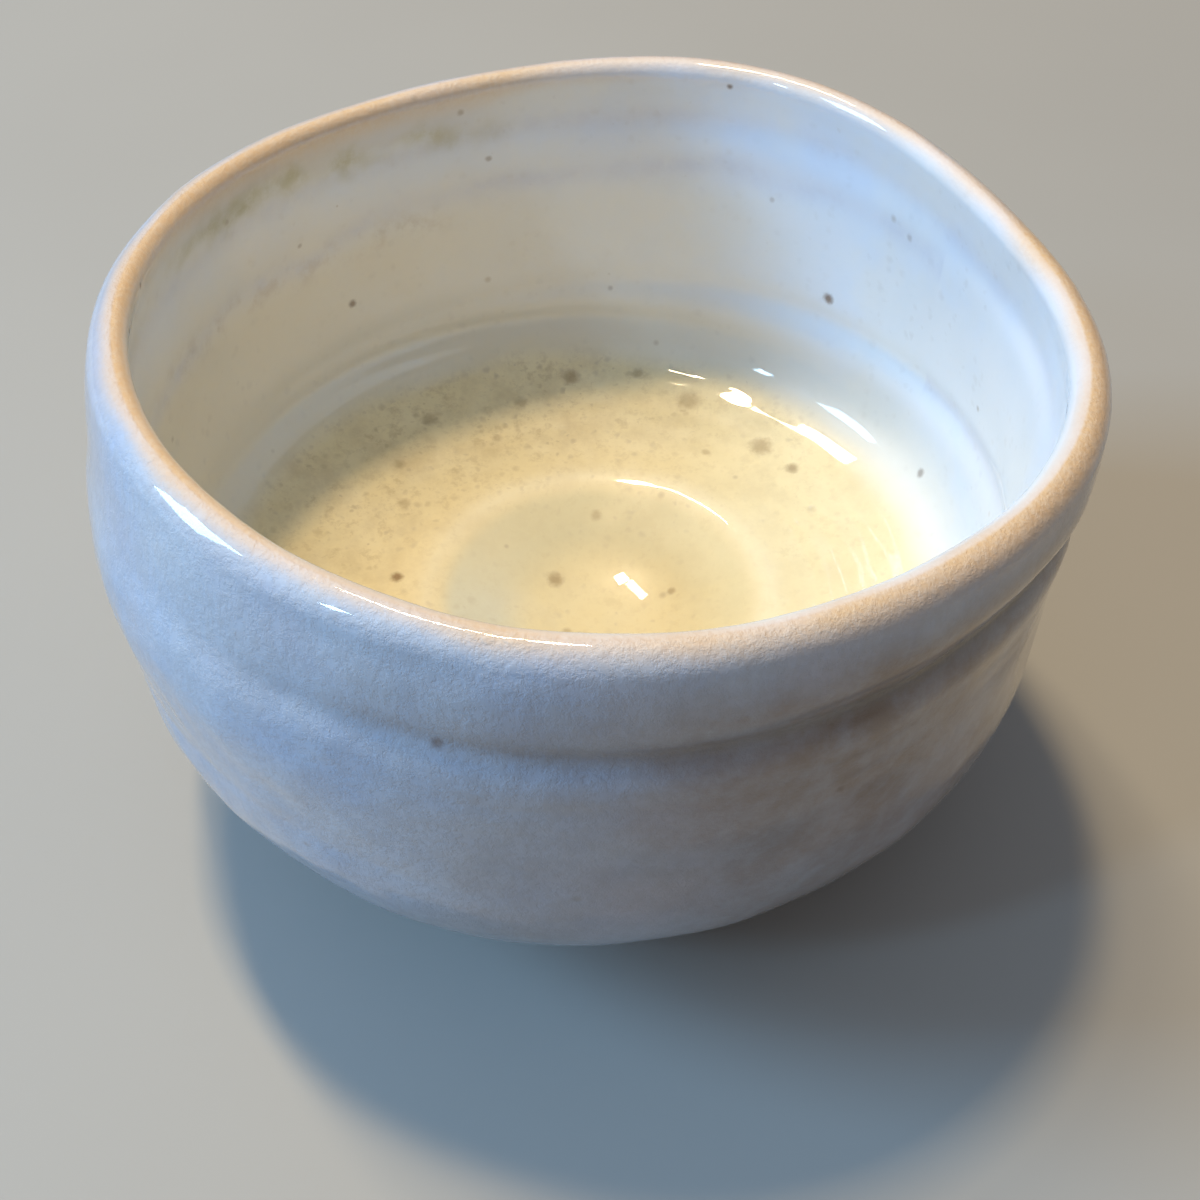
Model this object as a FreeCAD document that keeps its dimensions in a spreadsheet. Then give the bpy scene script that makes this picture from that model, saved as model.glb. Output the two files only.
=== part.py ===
import FreeCAD, Part
import math
import os

import Sketcher
from FreeCAD import Placement, Rotation, Vector

# A hand-thrown tea bowl (chawan). Millimetres, +Z up, origin at the centre of
# the foot ring on the table. One clay bowl, one foot ring luted under it and
# five coats of glaze: outside, lip, inner wall, floor and the tea well.

os.makedirs("parts", exist_ok=True)
doc = FreeCAD.newDocument("tea_bowl")

# ---------------------------------------------------------------- dimensions

DIMENSIONS = [
    ("rim_height", 73.0, "mean height of the lip crest"),
    ("lip_half_width", 2.3, "half thickness of the rounded lip"),
    ("lip_half_height", 2.4, "height of the rounded part of the lip"),
    ("lip_radius", 56.85, "outer radius where the rounding of the lip begins"),
    ("lip_lean", 0.22, "how far the lip leans inward for each mm that it rises"),
    ("seat_height", 7.0, "underside of the bowl where the foot ring is luted on"),
    ("seat_radius", 28.5, "radius of the flat seat"),
    ("foot_outer_radius", 28.0, "foot ring at the seat, outside"),
    ("foot_inner_radius", 20.5, "foot ring at the seat, inside"),
    ("foot_base_outer_radius", 26.4, "foot ring on the table, outside"),
    ("foot_base_inner_radius", 21.6, "foot ring on the table, inside"),
    ("foot_round", 0.9, "rounding of the foot ring edges on the table"),
    ("recess_depth", 3.2, "hollow trimmed under the bowl inside the foot ring"),
    ("recess_top_radius", 16.5, "radius of that hollow at its ceiling"),
    ("boss_height", 1.6, "small cone left by the trimming tool in the hollow"),
    ("boss_radius", 5.0, "radius of that cone"),
    ("boss_tip_radius", 0.8, "radius of its blunt tip"),
    ("glaze_thickness", 0.42, "glaze on the walls"),
    ("lip_glaze_thickness", 0.28, "glaze where it runs thin over the lip"),
    ("floor_glaze_thickness", 0.55, "glaze settled on the floor"),
    ("pool_glaze_thickness", 1.0, "glaze pooled in the middle of the tea well"),
    ("lip_line_height", 69.0, "height where the lip coat begins"),
    ("floor_edge_height", 26.4, "height where the wall coat meets the floor coat"),
    ("well_radius", 22.0, "radius of the tea well"),
    ("well_offset", 1.7, "how far the tea well sits off the centre of the foot"),
    ("bowl_offset_x", 2.28, "how far the bowl leans off the centre of the foot, along X"),
    ("bowl_offset_y", 0.29, "the same along Y"),
    ("dip_line_height", 12.6, "mean height where the outside glaze stops"),
    ("dip_line_tilt", 2.2, "tilt of that line in degrees"),
    ("divider_depth", 2.2, "depth in the wall of the surface that parts inner from outer glaze"),
    ("groove_drop", 11.6, "throwing groove below the rim, outside"),
    ("groove_depth", 0.75, "depth of that groove at its sharpest"),
    ("groove_half_width", 2.6, "half width of that groove"),
]

sheet = doc.addObject("Spreadsheet::Sheet", "dimensions")
for row, (alias, value, meaning) in enumerate(DIMENSIONS, start=1):
    sheet.set("A%d" % row, alias)
    sheet.set("B%d" % row, str(value))
    sheet.set("C%d" % row, meaning)
    sheet.setAlias("B%d" % row, alias)
doc.recompute()


def dim(alias):
    return float(sheet.get(alias))


def bind(feature, **expressions):
    """Tie properties of a feature to cells of the dimension sheet."""
    for name, expression in expressions.items():
        feature.setExpression(name, expression)


RIM = dim("rim_height")
SEAT = dim("seat_height")

# ------------------------------------------------------- hand-thrown contour

# Contour of the glazed surface: (height above the table, radius), from the
# seat of the foot ring up the outside to the start of the lip.
OUTSIDE = [
    (SEAT, dim("seat_radius") + dim("glaze_thickness")),
    (8.2, 34.0),
    (11.0, 41.9),
    (16.0, 50.2),
    (23.0, 56.3),
    (31.0, 59.0),
    (41.0, 59.2),
    (51.0, 59.3),
    (60.0, 58.6),
    (67.0, 57.7),
    (RIM - dim("lip_half_height"), dim("lip_radius")),
]

# The same inside, from the lip down the wall, across the floor, over the low
# ridge round the tea well and down to the middle of the well.
INSIDE = [
    (RIM - dim("lip_half_height"), dim("lip_radius") - 2.0 * dim("lip_half_width")),
    (65.0, 52.9),
    (53.0, 53.8),
    (41.0, 53.7),
    (34.0, 53.0),
    (30.0, 52.2),
    (27.3, 50.4),
    (25.6, 47.6),
    (24.2, 43.0),
    (22.9, 36.0),
    (22.2, 30.0),
    (22.05, 26.5),
    (21.9, 24.2),
    (21.2, 22.1),
    (20.2, 19.6),
    (19.2, 17.0),
    (18.0, 14.0),
    (16.8, 11.0),
    (15.9, 8.0),
    (15.3, 5.0),
    (15.05, 2.5),
]

# How the wall departs from a true circle: (waves round the bowl, amplitude in
# mm, direction of a crest in degrees).
OUT_OF_ROUND = [(2, 0.97, -54.0), (3, 1.22, -51.0), (4, 0.77, -21.0), (5, 0.29, -8.0)]
HIP_SWELL = [(1, 2.2, -176.0), (2, 0.3, -16.0)]
BELLY_SWELL = [(1, 2.0, -168.0), (2, 0.9, 54.0)]
RIM_LIFT = [(1, 0.17, 33.0), (2, 0.21, 31.0), (3, 0.3, -51.0), (4, 0.12, 28.0)]

# Height and spread of the two swells. The wall takes its full warp from
# FULL_WARP_RADIUS outwards and the foot stays round. The glaze thins within
# LIP_THINNING of the crest, and thickens over SETTLING_SPAN at the floor.
HIP_HEIGHT, HIP_SPREAD = 25.0, 20.0
BELLY_HEIGHT, BELLY_SPREAD = 53.0, 14.0
FULL_WARP_RADIUS = 50.0
LIP_THINNING = 3.5
SETTLING_TOP, SETTLING_SPAN = 8.0, 10.0
GROOVE_SHARPEST = -30.0

POINTS_ROUND = 36
MAX_STEP = 4.5
LIP_STEPS = 10
SLAB_SIDE = 200.0


def waves(terms, angle):
    """Sum of the waves of a list such as OUT_OF_ROUND in one direction."""
    total = 0.0
    for order, size, crest in terms:
        total += size * math.cos(order * (angle - math.radians(crest)))
    return total


def bell(value, centre, spread):
    """1 at the centre, fading to nothing a few spreads away."""
    return math.exp(-(((value - centre) / spread) ** 2))


def ring_point(radius, height, angle, outside):
    """Point of the hand-thrown surface for one contour point and direction."""
    hold = min(1.0, (radius / FULL_WARP_RADIUS) ** 2)
    rise = (height - SEAT) / (RIM - SEAT)
    reach = radius
    reach += hold * rise ** 2 * waves(OUT_OF_ROUND, angle)
    reach += hold * bell(height, HIP_HEIGHT, HIP_SPREAD) * waves(HIP_SWELL, angle)
    reach += hold * bell(height, BELLY_HEIGHT, BELLY_SPREAD) * waves(BELLY_SWELL, angle)
    if outside:
        fade = 0.5 + 0.5 * math.cos(angle - math.radians(GROOVE_SHARPEST))
        groove = bell(height, RIM - dim("groove_drop"), dim("groove_half_width"))
        reach -= dim("groove_depth") * fade ** 2 * groove
    lean = hold if outside else 1.0
    x = lean * dim("bowl_offset_x") + reach * math.cos(angle)
    y = lean * dim("bowl_offset_y") + reach * math.sin(angle)
    return Vector(x, y, height + hold * rise ** 3 * waves(RIM_LIFT, angle))


def subdivide(knots):
    """Smooth curve through the knots, sampled in steps of about MAX_STEP."""
    curve = Part.BSplineCurve()
    curve.interpolate([Vector(radius, 0.0, height) for height, radius in knots])
    steps = max(2, int(math.ceil(curve.length() / MAX_STEP)))
    return [(p.z, p.x) for p in curve.discretize(steps + 1)]


def lip_contour():
    """Half ellipse over the lip, between the outside and the inside."""
    half_width = dim("lip_half_width")
    half_height = dim("lip_half_height")
    middle = dim("lip_radius") - half_width
    contour = []
    for step in range(1, LIP_STEPS):
        turn = math.pi * step / LIP_STEPS
        rise = half_height * math.sin(turn)
        radius = middle + half_width * math.cos(turn) - dim("lip_lean") * rise
        contour.append((RIM - half_height + rise, radius))
    return contour


def full_contour():
    """The whole contour with a flag for the outside of the wall."""
    points = [(height, radius, True) for height, radius in subdivide(OUTSIDE)]
    points += [(height, radius, True) for height, radius in lip_contour()]
    points += [(height, radius, False) for height, radius in subdivide(INSIDE)]
    return points


def coat_thickness(height, radius, outside):
    """Glaze thickness at a contour point: thin on the lip, thick in the well."""
    wall = dim("glaze_thickness")
    floor = dim("floor_glaze_thickness")
    if outside or height > 0.5 * RIM:
        thin = bell(height, RIM, LIP_THINNING)
        return wall + thin * (dim("lip_glaze_thickness") - wall)
    if radius > dim("well_radius"):
        above_floor = height - dim("floor_edge_height")
        settled = max(0.0, min(1.0, (SETTLING_TOP - above_floor) / SETTLING_SPAN))
        return wall + settled * (floor - wall)
    pooled = 1.0 - (radius / dim("well_radius")) ** 2
    return floor + pooled * (dim("pool_glaze_thickness") - floor)


def inset(contour, depth_at):
    """A contour moved into the clay by depth_at(point), square to itself."""
    last = len(contour) - 1
    moved = []
    for index, (height, radius, outside) in enumerate(contour):
        depth = depth_at(height, radius, outside)
        if index == 0 and outside:
            moved.append((height, radius - depth, outside))
            continue
        before = contour[max(index - 1, 0)]
        after = contour[min(index + 1, last)]
        along_height = after[0] - before[0]
        along_radius = after[1] - before[1]
        step = math.hypot(along_height, along_radius)
        height += depth * along_radius / step
        radius -= depth * along_height / step
        moved.append((height, radius, outside))
    return moved


def ring_wire(height, radius, outside, flat):
    """Closed smooth curve round the bowl; the first and last of a loft are flat."""
    points = []
    for step in range(POINTS_ROUND):
        angle = 2.0 * math.pi * step / POINTS_ROUND
        point = ring_point(radius, height, angle, outside)
        if flat:
            point.z = height
        points.append(point)
    curve = Part.BSplineCurve()
    parameters = [step / POINTS_ROUND for step in range(POINTS_ROUND + 1)]
    curve.interpolate(Points=points, PeriodicFlag=True, Parameters=parameters)
    return Part.Wire([curve.toShape()])


def loft(name, contour):
    """Solid loft through the rings of a contour."""
    rings = []
    last = len(contour) - 1
    for index, (height, radius, outside) in enumerate(contour):
        ring = doc.addObject("Part::Feature", "%s_ring_%02d" % (name, index))
        ring.Shape = ring_wire(height, radius, outside, index in (0, last))
        rings.append(ring)
    skin = doc.addObject("Part::Loft", name)
    skin.Sections = rings
    skin.Solid = True
    skin.Ruled = False
    return skin


# ------------------------------------------------------------- working forms

contour = full_contour()
inner_contour = [point for point in contour if not point[2]]
glazed_form = loft("glazed_form", contour)
clay_form = loft("clay_form", inset(contour, coat_thickness))
divider = loft("divider", inset(inner_contour, lambda *point: dim("divider_depth")))


def slab(name, bottom, tilt=0.0):
    """Everything above a level plane, or above a plane tilted about Y."""
    box = doc.addObject("Part::Box", name)
    box.Length = SLAB_SIDE
    box.Width = SLAB_SIDE
    bind(box, Height="dimensions.rim_height")
    centred = Placement(Vector(-0.5 * SLAB_SIDE, -0.5 * SLAB_SIDE, 0), Rotation())
    raised = Placement(Vector(0, 0, dim(bottom)), Rotation(Vector(0, 1, 0), tilt))
    box.Placement = raised.multiply(centred)
    return box


def cut(name, base, tool):
    feature = doc.addObject("Part::Cut", name)
    feature.Base = base
    feature.Tool = tool
    return feature


def common(name, base, tool):
    feature = doc.addObject("Part::Common", name)
    feature.Base = base
    feature.Tool = tool
    return feature


above_lip_line = slab("above_lip_line", "lip_line_height")
above_dip_line = slab("above_dip_line", "dip_line_height", dim("dip_line_tilt"))
above_floor_edge = slab("above_floor_edge", "floor_edge_height")
well_column = doc.addObject("Part::Cylinder", "well_column")
bind(well_column, Radius="dimensions.well_radius", Height="dimensions.rim_height")
well_column.Placement = Placement(Vector(dim("well_offset"), 0, 0), Rotation())

# ----------------------------------------------------------------- clay bowl

hollow_cone = doc.addObject("Part::Cone", "hollow_cone")
bind(
    hollow_cone,
    Radius1="dimensions.foot_inner_radius",
    Radius2="dimensions.recess_top_radius",
    Height="dimensions.recess_depth",
)
hollow_cone.Placement = Placement(Vector(0, 0, SEAT), Rotation())
boss = doc.addObject("Part::Cone", "boss")
bind(
    boss,
    Radius1="dimensions.boss_tip_radius",
    Radius2="dimensions.boss_radius",
    Height="dimensions.boss_height",
)
boss.Placement = Placement(Vector(0, 0, SEAT + dim("recess_depth") - dim("boss_height")), Rotation())
hollow = cut("hollow", hollow_cone, boss)
clay_bowl = cut("clay_bowl", clay_form, hollow)

# --------------------------------------------------------------- glaze coats

coat = cut("coat", glazed_form, clay_form)
lip_glaze = common("lip_glaze", coat, above_lip_line)
below_lip = cut("below_lip", coat, above_lip_line)
outer_coat = cut("outer_coat", below_lip, divider)
outer_glaze = common("outer_glaze", outer_coat, above_dip_line)
inner_coat = common("inner_coat", below_lip, divider)
wall_glaze = common("wall_glaze", inner_coat, above_floor_edge)
bottom_coat = cut("bottom_coat", inner_coat, above_floor_edge)
well_glaze = common("well_glaze", bottom_coat, well_column)
floor_glaze = cut("floor_glaze", bottom_coat, well_column)

# ----------------------------------------------------------------- foot ring


def origin_plane(body, role):
    for feature in body.Origin.OriginFeatures:
        if feature.Role == role:
            return feature
    raise RuntimeError("no plane " + role)


def foot_ring_body():
    """Ring turned from a four-sided section, its table edges rounded."""
    body = doc.addObject("PartDesign::Body", "foot_ring")
    sketch = body.newObject("Sketcher::SketchObject", "foot_section")
    sketch.AttachmentSupport = [(origin_plane(body, "XZ_Plane"), "")]
    sketch.MapMode = "FlatFace"
    corners = [
        ("foot_base_inner_radius", 0.0),
        ("foot_base_outer_radius", 0.0),
        ("foot_outer_radius", SEAT),
        ("foot_inner_radius", SEAT),
    ]
    count = len(corners)
    for index, (radius, height) in enumerate(corners):
        next_radius, next_height = corners[(index + 1) % count]
        start = Vector(dim(radius), height, 0)
        end = Vector(dim(next_radius), next_height, 0)
        sketch.addGeometry(Part.LineSegment(start, end), False)
    for index in range(count):
        sketch.addConstraint(Sketcher.Constraint("Coincident", index, 2, (index + 1) % count, 1))
    sketch.addConstraint(Sketcher.Constraint("Horizontal", 0))
    sketch.addConstraint(Sketcher.Constraint("Horizontal", 2))
    sketch.addConstraint(Sketcher.Constraint("PointOnObject", 0, 1, -1))
    for index, (radius, height) in enumerate(corners):
        number = sketch.addConstraint(Sketcher.Constraint("DistanceX", -1, 1, index, 1, dim(radius)))
        sketch.renameConstraint(number, radius)
        sketch.setExpression("Constraints." + radius, "dimensions." + radius)
    number = sketch.addConstraint(Sketcher.Constraint("DistanceY", -1, 1, 2, 1, SEAT))
    sketch.renameConstraint(number, "seat_height")
    sketch.setExpression("Constraints.seat_height", "dimensions.seat_height")
    ring = body.newObject("PartDesign::Revolution", "foot_turning")
    ring.Profile = sketch
    ring.ReferenceAxis = (sketch, ["V_Axis"])
    ring.Angle = 360.0
    doc.recompute()
    table_edges = []
    for number, edge in enumerate(ring.Shape.Edges, start=1):
        if edge.Closed and edge.BoundBox.ZMax < 0.01:
            table_edges.append("Edge%d" % number)
    rounding = body.newObject("PartDesign::Fillet", "foot_rounding")
    rounding.Base = (ring, table_edges)
    bind(rounding, Radius="dimensions.foot_round")
    return body


foot_ring = foot_ring_body()
doc.recompute()

# -------------------------------------------------------------------- output

SUB_PARTS = [clay_bowl, foot_ring, outer_glaze, lip_glaze, wall_glaze, floor_glaze, well_glaze]

for feature in doc.Objects:
    if "Invalid" in feature.State or "Error" in feature.State:
        raise RuntimeError("%s failed: %s" % (feature.Name, feature.State))

for part in SUB_PARTS:
    part.Label = part.Name
    shape = part.Shape
    if shape.isNull() or not shape.isValid():
        raise RuntimeError(part.Label + " has a bad shape")
    print(part.Label, len(shape.Solids), "solid", round(shape.Volume, 1), "mm3", shape.BoundBox)

for part in SUB_PARTS:
    part.Shape.exportStep("parts/%s.step" % part.Label)
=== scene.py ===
import math

import bpy
import numpy as np
from mathutils import Euler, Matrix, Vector


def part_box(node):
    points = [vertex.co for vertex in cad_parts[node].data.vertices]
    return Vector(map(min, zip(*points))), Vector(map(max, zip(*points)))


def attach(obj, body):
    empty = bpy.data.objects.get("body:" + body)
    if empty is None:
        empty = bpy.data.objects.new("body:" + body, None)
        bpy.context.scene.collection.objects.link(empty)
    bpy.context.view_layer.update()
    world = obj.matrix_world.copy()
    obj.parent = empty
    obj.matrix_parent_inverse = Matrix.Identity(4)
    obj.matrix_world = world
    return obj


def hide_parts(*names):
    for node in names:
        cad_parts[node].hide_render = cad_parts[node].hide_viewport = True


# A hand-thrown tea bowl. The clay, the foot ring and the five coats of glaze are
# built again round the CAD frame as detailed closed meshes that share one
# continuous surface, so the glaze runs on unbroken from coat to coat.

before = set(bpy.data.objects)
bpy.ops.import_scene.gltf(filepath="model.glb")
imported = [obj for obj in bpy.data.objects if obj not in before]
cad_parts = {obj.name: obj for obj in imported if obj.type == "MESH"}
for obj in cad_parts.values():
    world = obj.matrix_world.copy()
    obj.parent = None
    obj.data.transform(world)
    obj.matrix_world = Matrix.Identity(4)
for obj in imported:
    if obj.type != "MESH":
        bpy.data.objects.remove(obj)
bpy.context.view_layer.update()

MM = 0.001

# ------------------------------------------------------------- thrown contour

# Sizes in millimetres, the same design as the CAD parts.
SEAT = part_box("foot_ring")[1].z / MM
RIM = 73.0
LIP_RADIUS, LIP_HALF_WIDTH, LIP_HALF_HEIGHT = 56.85, 2.3, 2.4
LIP_LEAN = 0.22
LIP_START = RIM - LIP_HALF_HEIGHT
LIP_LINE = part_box("lip_glaze")[0].z / MM
FLOOR_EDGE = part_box("floor_glaze")[1].z / MM
WELL_RADIUS = 22.0
WALL_COAT, LIP_COAT, FLOOR_COAT, POOL_COAT = 0.42, 0.28, 0.55, 1.0

# (height, radius) of the glazed surface, up the outside and down the inside. The
# tea well is curved a little more fully than in the CAD, by up to about 0.2 mm.
OUTSIDE = [
    (SEAT, 28.92), (8.2, 34.0), (11.0, 41.9), (16.0, 50.2), (23.0, 56.3), (31.0, 59.0),
    (41.0, 59.2), (51.0, 59.3), (60.0, 58.6), (67.0, 57.7), (LIP_START, LIP_RADIUS),
]
INSIDE = [
    (LIP_START, LIP_RADIUS - 2 * LIP_HALF_WIDTH), (65.0, 52.9), (53.0, 53.8), (41.0, 53.7),
    (34.0, 53.0), (30.0, 52.2), (27.3, 50.4), (25.6, 47.6), (24.2, 43.0), (22.9, 36.0),
    (22.2, 30.0), (22.05, 26.5), (21.91, 24.3), (21.28, 22.2), (20.48, 20.0), (19.6, 17.7),
    (18.75, 15.6), (17.65, 13.1), (16.7, 10.8), (15.85, 8.2), (15.25, 5.6), (15.0, 3.0), (14.95, 0.0),
]

# (waves round the bowl, amplitude, direction of a crest in degrees).
OUT_OF_ROUND = [(2, 0.97, -54.0), (3, 1.22, -51.0), (4, 0.77, -21.0), (5, 0.29, -8.0)]
HIP_SWELL = [(1, 2.2, -176.0), (2, 0.3, -16.0)]
BELLY_SWELL = [(1, 2.0, -168.0), (2, 0.9, 54.0)]
RIM_LIFT = [(1, 0.17, 33.0), (2, 0.21, 31.0), (3, 0.3, -51.0), (4, 0.12, 28.0)]
BOWL_OFFSET = (2.28, 0.29)
FULL_WARP_RADIUS = 50.0
GROOVE_HEIGHT, GROOVE_DEPTH, GROOVE_WIDTH, GROOVE_SHARPEST = 61.4, 0.75, 2.6, -30.0

# The spiral throwing ring of the inner wall, and the ring above it.
SPIRAL_TOP, SPIRAL_PITCH, SPIRAL_START, SPIRAL_LEAD, SPIRAL_LAPS = 57.3, 19.5, 26.0, 0.15, 3
UPPER_RING = 64.0

# Hidden surfaces need fewer rings, so they lie deeper behind the sharp groove and
# don't come through it: (extra depth in mm, spread in mm) for coats and clay.
BACK_STEP, CLAY_STEP = 3, 2.5
COAT_SINK, CLAY_SINK = (0.3, 4.0), (0.9, 5.0)
CLAY_GAP, CLAY_BURIED = 0.012, 0.12

AROUND = 600
ANGLES = np.arange(AROUND) * (2 * math.pi / AROUND)


def bell(value, centre, spread):
    return np.exp(-(((value - centre) / spread) ** 2))


def smooth(value, low, high):
    """0 below low, 1 above high, and a smooth step between them."""
    t = np.clip((value - low) / (high - low), 0.0, 1.0)
    return t * t * (3 - 2 * t)


def waves(terms, angle):
    return sum(size * np.cos(order * (angle - math.radians(crest))) for order, size, crest in terms)


def facing(angle, direction, power=1.0):
    """1 in one direction (degrees), fading to 0 on the opposite side."""
    return (0.5 + 0.5 * np.cos(angle - math.radians(direction))) ** power


def spline(knots, step):
    """Natural cubic spline through (height, radius) knots, sampled evenly."""
    points = np.array(knots, float)
    chord = np.r_[0.0, np.cumsum(np.hypot(*np.diff(points, axis=0).T))]
    gap = np.diff(chord)
    size = len(points)
    system = np.eye(size)
    right = np.zeros((size, 2))
    for i in range(1, size - 1):
        system[i, i - 1:i + 2] = gap[i - 1], 2 * (gap[i - 1] + gap[i]), gap[i]
        ahead, back = (points[i + 1] - points[i]) / gap[i], (points[i] - points[i - 1]) / gap[i - 1]
        right[i] = 6 * (ahead - back)
    bend = np.linalg.solve(system, right)
    where = np.linspace(0.0, chord[-1], int(chord[-1] / step) + 1)
    i = np.clip(np.searchsorted(chord, where) - 1, 0, size - 2)
    a = ((chord[i + 1] - where) / gap[i])[:, None]
    b = 1 - a
    curve = a * points[i] + b * points[i + 1]
    return curve + ((a ** 3 - a) * bend[i] + (b ** 3 - b) * bend[i + 1]) * (gap[i] ** 2)[:, None] / 6


def contour_table():
    """Arc length, height, radius along the whole contour, and the crest's place."""
    turn = np.linspace(0.0, math.pi, 60)[1:-1]
    rise = LIP_HALF_HEIGHT * np.sin(turn)
    lip = np.c_[LIP_START + rise, LIP_RADIUS - LIP_HALF_WIDTH * (1 - np.cos(turn)) - LIP_LEAN * rise]
    outer, inner = spline(OUTSIDE, 0.1), spline(INSIDE, 0.1)
    curve = np.vstack([outer, lip, inner])
    along = np.r_[0.0, np.cumsum(np.hypot(*np.diff(curve, axis=0).T))]
    return along, curve[:, 0], curve[:, 1], along[len(outer) + len(lip) // 2]


ALONG, HEIGHT, RADIUS, CREST = contour_table()


def outside_at(height):
    """Arc length where the outside contour passes a height."""
    below = ALONG < CREST
    return np.interp(height, HEIGHT[below], ALONG[below])


def inside_at(height):
    """Arc length where the inner wall passes a height."""
    part = (ALONG > CREST) & (RADIUS > 30.0)
    return np.interp(-height, -HEIGHT[part], ALONG[part])


def inside_at_radius(radius):
    """Arc length where the floor or the tea well has a radius."""
    part = (ALONG > CREST) & (HEIGHT < 30.0)
    return np.interp(-radius, -RADIUS[part], ALONG[part])


# ------------------------------------------------------------- surface detail


def lumps(points, size, seed, terms=28):
    """Smooth seeded unevenness, about -1 to 1, with lumps of the given size in mm."""
    generator = np.random.default_rng(seed)
    total = np.zeros(points.shape[:-1])
    for _ in range(terms):
        direction = generator.normal(size=3)
        direction /= np.linalg.norm(direction)
        stretch = (2 * math.pi / size) * generator.uniform(0.45, 1.0)
        total += np.cos(points @ direction * stretch + generator.uniform(0, 2 * math.pi))
    return total / math.sqrt(terms) * 0.9


def groove_line(points, angle):
    """Height of the groove under the lip: it dips at the front right."""
    return GROOVE_HEIGHT - 1.4 * facing(angle, -25.0, 6.0) + 0.25 * lumps(points, 16.0, 14)


def spiral_line(angle, lap):
    """Height of one turn of the spiral throwing ring on the inner wall."""
    turned = np.mod(np.degrees(angle) - SPIRAL_START, 360.0) / 360.0
    return SPIRAL_TOP - SPIRAL_PITCH * (turned + lap - SPIRAL_LEAD)


def upper_ring_wander(angle):
    return 0.7 * np.sin(angle + 0.6) + 0.4 * np.sin(2 * angle)


def tool_spiral(distance, pitch, angle):
    """Ripple from -1 to 1 of a spiral that moves on by one pitch in each turn."""
    return np.sin(2 * math.pi * (distance / pitch + angle / (2 * math.pi)))


def outer_detail(points, height, angle):
    """Unevenness of the outside wall in mm, outward."""
    left, front = facing(angle, -145.0, 3.0), facing(angle, -72.0, 6.0)
    right = facing(angle, -38.0, 3.0)
    line = groove_line(points, angle)
    above = height > line
    detail = -0.55 * right * bell(height, line, np.where(above, 0.85, 2.0))
    detail -= 0.24 * front * bell(height, line, np.where(above, 3.0, 2.4))
    detail += 0.18 * front * bell(height, line - 4.0, 2.0)
    detail -= 0.09 * bell(height, line - 6.8, 0.9) * facing(angle, -88.0, 9.0)
    detail -= 0.09 * bell(height, 50.6 + 0.5 * lumps(points, 12.0, 15), 1.3) * facing(angle, -54.0, 26.0)
    detail -= 0.30 * bell(height, 64.0 + 0.8 * lumps(points, 22.0, 16), 5.5) * left
    detail -= 0.14 * bell(height, 37.0 + 1.2 * np.sin(2 * angle), 1.4) * facing(angle, -150.0, 6.0)
    detail += 0.10 * bell(height, 33.5, 2.8) * facing(angle, -130.0, 3.0)
    detail += 0.20 * lumps(points, 26.0, 11) + 0.08 * lumps(points, 9.0, 12)
    pitted = facing(angle, -140.0, 6.0) * smooth(height, 22.0, 32.0) * smooth(height, 62.0, 52.0)
    detail += 0.055 * pitted * lumps(points, 4.2, 17)
    detail += 0.012 * lumps(points * np.array([1.0, 1.0, 0.5]), 3.6, 13)
    return detail * smooth(height, 9.0, 16.0)


def inner_detail(points, height, radius, angle):
    """Throwing rings and unevenness of the inner wall and floor in mm, inward."""
    right = facing(angle, 25.0, 2.0)
    detail = np.zeros_like(height)
    for lap in range(SPIRAL_LAPS):
        line = spiral_line(angle, lap)
        strength = 0.25 + (0.25 + 0.9 * facing(angle, 48.0, 4.0)) * smooth(line, 52.0, 42.0)
        detail -= strength * (0.40 * bell(height, line, 1.9) - 0.24 * bell(height, line - 4.2, 2.6))
    wander = upper_ring_wander(angle)
    detail -= (0.22 + 0.12 * right) * bell(height, UPPER_RING + wander, 2.2)
    detail += 0.06 * bell(height, 58.5 + wander, 3.0) - 0.36 * bell(height, 67.0, 4.2)
    detail *= smooth(height, 29.0, 35.0)
    ledge = bell(height, 28.8, 1.5) - bell(height, 31.5, 1.2)
    detail += 0.30 * ledge * facing(angle, 125.0, 4.0)
    detail += 0.12 * lumps(points, 22.0, 21) + 0.05 * lumps(points, 8.0, 22)
    spin = tool_spiral(radius, 4.6, angle)
    detail += 0.045 * spin * smooth(height, 27.0, 24.0) * smooth(radius, 26.0, 31.0)
    dish = 0.06 * bell(radius, 10.5, 3.5) * np.cos(angle - math.radians(190.0))
    return detail + (dish + 0.03 * bell(radius, 24.0, 2.2)) * (height < 30.0)


def fade_at_crest(along):
    """0 on the crest of the lip, 1 on the walls."""
    return smooth(np.abs(along - CREST), 2.0, 6.0)


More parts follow.
